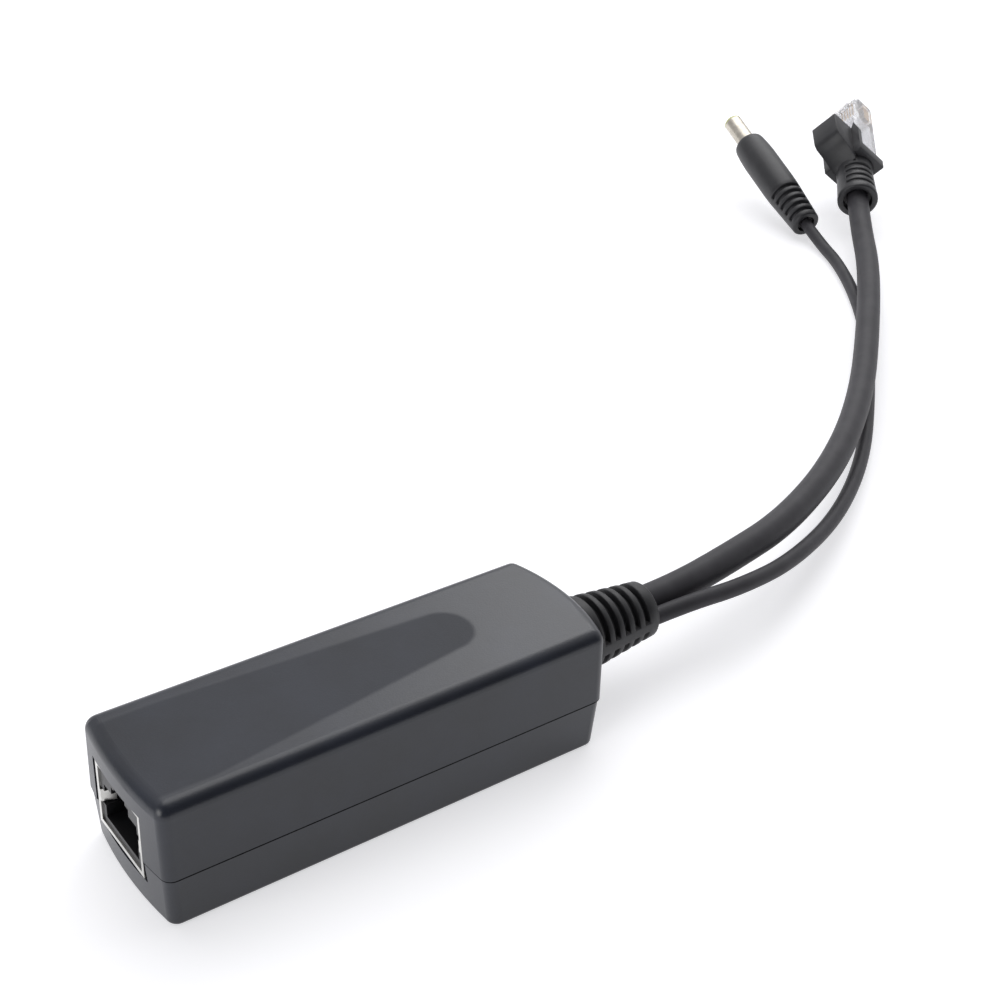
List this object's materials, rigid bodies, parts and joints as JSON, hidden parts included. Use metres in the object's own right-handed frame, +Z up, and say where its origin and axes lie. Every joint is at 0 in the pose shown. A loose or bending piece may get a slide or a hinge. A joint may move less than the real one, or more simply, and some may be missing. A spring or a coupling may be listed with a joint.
{
  "type": "poe splitter",
  "caption": "Small black two-shell box with a shielded network jack at one end and a ringed strain relief at the other that carries a network cord with plug and a power cord with barrel plug.",
  "frame": {"origin": "centre of the housing's underside, on the surface that it lies on", "axes": "+X from the jack end towards the cords, +Z up, +Y across the housing"},
  "size_m": [0.3296, 0.1987, 0.0292],
  "materials": {
    "top_shell": "moulded ABS, fine spark texture",
    "bottom_shell": "moulded ABS, fine spark texture",
    "circuit_board": "green solder mask on glass epoxy",
    "jack_shield": "tinned sheet steel",
    "jack_insert": "moulded black nylon",
    "jack_contacts": "gilded phosphor bronze",
    "magnetics_module": "black moulded epoxy",
    "magnetics_leads": "tinned leads",
    "bridge_rectifiers": "black moulded epoxy",
    "bridge_leads": "tinned leads",
    "controller_chip": "black moulded epoxy",
    "controller_leads": "tinned leads",
    "power_transistor": "black moulded epoxy",
    "input_capacitor": "aluminium can in a dark sleeve",
    "output_capacitor": "aluminium can in a dark sleeve",
    "transformer_core": "ground grey ferrite",
    "transformer_bobbin": "black phenolic moulding",
    "transformer_winding": "yellow polyester tape on copper wire",
    "transformer_pins": "tinned pins",
    "feedback_coupler": "black moulded epoxy",
    "coupler_leads": "tinned leads",
    "output_diode": "black moulded epoxy",
    "output_inductor": "dark ferrite drum",
    "chip_components": "tan ceramic chips",
    "network_wires": "PVC insulated wires",
    "power_wires": "PVC insulated wires",
    "strain_relief": "moulded soft PVC",
    "ethernet_cable": "satin PVC jacket",
    "dc_cable": "satin PVC jacket",
    "plug_boot": "moulded soft PVC",
    "plug_housing": "clear moulded polycarbonate",
    "plug_contacts": "gilded phosphor bronze",
    "dc_plug_body": "moulded soft PVC",
    "dc_plug_barrel": "nickel-plated brass sleeve",
    "dc_plug_liner": "pale yellow-green moulded liner",
    "dc_plug_contact": "nickel-plated spring contact"
  },
  "bodies": {
    "root": {"top_shell": "top_shell", "bottom_shell": "bottom_shell", "circuit_board": "circuit_board", "jack_shield": "jack_shield", "jack_insert": "jack_insert", "jack_contacts": "jack_contacts", "magnetics_module": "magnetics_module", "magnetics_leads": "magnetics_leads", "bridge_rectifiers": "bridge_rectifiers", "bridge_leads": "bridge_leads", "controller_chip": "controller_chip", "controller_leads": "controller_leads", "power_transistor": "power_transistor", "input_capacitor": "input_capacitor", "output_capacitor": "output_capacitor", "transformer_core": "transformer_core", "transformer_bobbin": "transformer_bobbin", "transformer_winding": "transformer_winding", "transformer_pins": "transformer_pins", "feedback_coupler": "feedback_coupler", "coupler_leads": "coupler_leads", "output_diode": "output_diode", "output_inductor": "output_inductor", "chip_components": "chip_components", "network_wires": "network_wires", "power_wires": "power_wires", "strain_relief": "strain_relief", "ethernet_cable": "ethernet_cable", "dc_cable": "dc_cable", "plug_boot": "plug_boot", "plug_housing": "plug_housing", "plug_contacts": "plug_contacts", "dc_plug_body": "dc_plug_body", "dc_plug_barrel": "dc_plug_barrel", "dc_plug_liner": "dc_plug_liner", "dc_plug_contact": "dc_plug_contact"}
  },
  "joints": []
}
